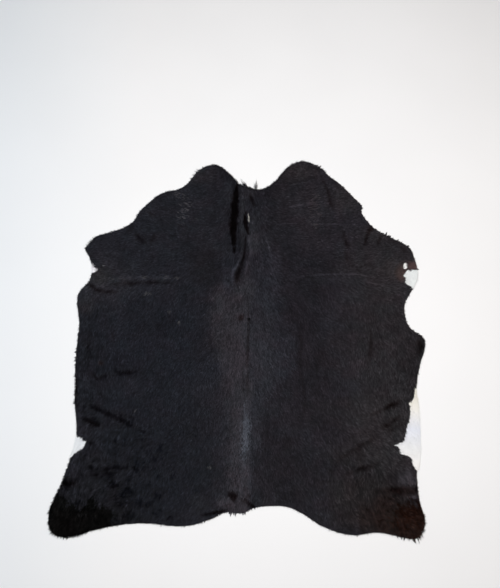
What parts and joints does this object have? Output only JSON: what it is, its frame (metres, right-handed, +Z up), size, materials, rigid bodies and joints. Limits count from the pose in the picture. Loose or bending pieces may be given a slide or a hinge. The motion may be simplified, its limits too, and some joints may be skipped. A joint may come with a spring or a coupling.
{
  "type": "hair-on cowhide",
  "caption": "Whole hair-on cattle hide, trimmed round its legs, belly and neck, lying flat with its short dark coat up as a floor covering.",
  "frame": {"origin": "on the floor under the middle of the hide's outline", "axes": "+Z up off the floor, +Y towards the neck, +X to the right with the neck away from the viewer"},
  "size_m": [1.8804, 2.0159, 0.0235],
  "materials": {
    "hide": "short lying black hair with a soft sheen, suede underside"
  },
  "bodies": {
    "root": {"hide": "hide"}
  },
  "joints": []
}
